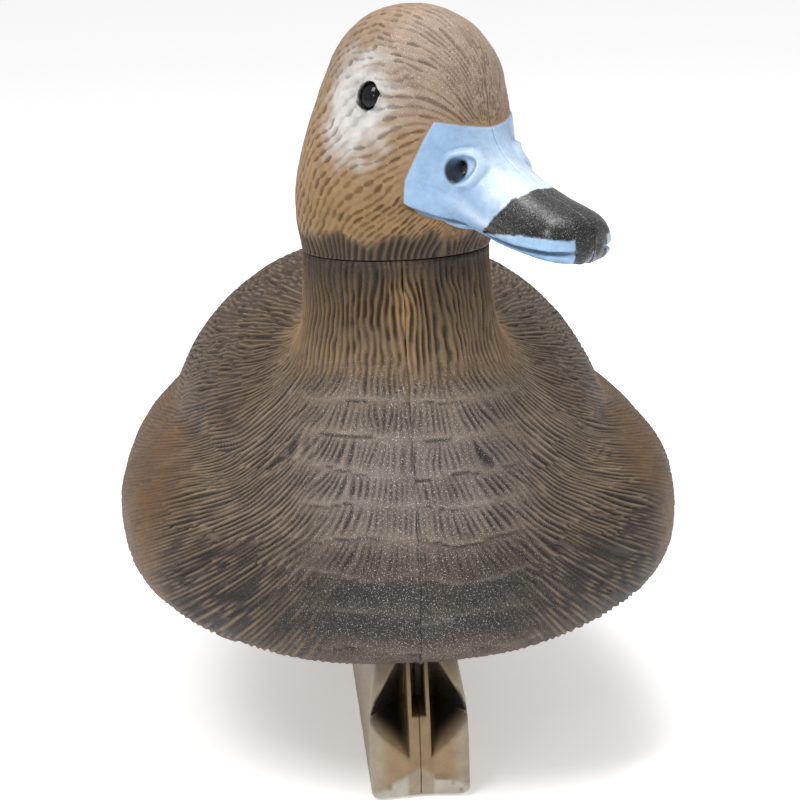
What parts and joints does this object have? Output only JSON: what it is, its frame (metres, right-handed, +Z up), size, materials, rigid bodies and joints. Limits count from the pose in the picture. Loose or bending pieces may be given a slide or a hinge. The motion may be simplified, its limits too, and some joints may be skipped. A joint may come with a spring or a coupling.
{
  "type": "floating duck decoy",
  "caption": "Floating duck decoy: hollow feathered hull on a weighted keel, with a head that turns on its neck.",
  "frame": {"origin": "middle of the keel's flat bottom, which the decoy stands on", "axes": "+X to the bird's left, -Y the way its breast points, +Z up"},
  "size_m": [0.1852, 0.3543, 0.2466],
  "materials": {
    "feathered_plastic": "matte",
    "head_plastic": "matte",
    "eye_glass": "gloss",
    "keel_plastic": "satin",
    "swivel_plastic": "satin",
    "seal_rubber": "matte",
    "ballast_iron": "matte",
    "fastener_steel": "satin",
    "plug_plastic": "satin"
  },
  "bodies": {
    "hull": {"body_left_shell": "feathered_plastic", "body_right_shell": "feathered_plastic", "neck_bearing_ring": "swivel_plastic", "keel_left_shell": "keel_plastic", "keel_right_shell": "keel_plastic", "keel_gasket": "seal_rubber", "keel_ballast": "ballast_iron", "keel_screws": "fastener_steel", "screw_washers": "fastener_steel", "drain_bushing": "plug_plastic"},
    "head": {"head_left_shell": "head_plastic", "head_right_shell": "head_plastic", "left_eye": "eye_glass", "right_eye": "eye_glass", "neck_spigot": "swivel_plastic", "neck_o_ring": "seal_rubber", "spigot_retaining_clip": "fastener_steel"},
    "ballast_cap": {"ballast_cap": "plug_plastic", "cap_seal_ring": "seal_rubber"},
    "drain_plug": {"drain_plug": "plug_plastic", "drain_seal_ring": "seal_rubber"}
  },
  "joints": [
    {"name": "head_swivel", "type": "hinge", "parent": "hull", "child": "head", "pos_m": [0, -0.068, 0.172], "axis": [0, 0, 1], "range_deg": [-102, 18]},
    {"name": "ballast_cap_pull", "type": "slide", "parent": "hull", "child": "ballast_cap", "axis": [0, 1, 0], "range_m": [0, 0.02]},
    {"name": "drain_plug_pull", "type": "slide", "parent": "hull", "child": "drain_plug", "axis": [0, 0, -1], "range_m": [0, 0.01]}
  ]
}
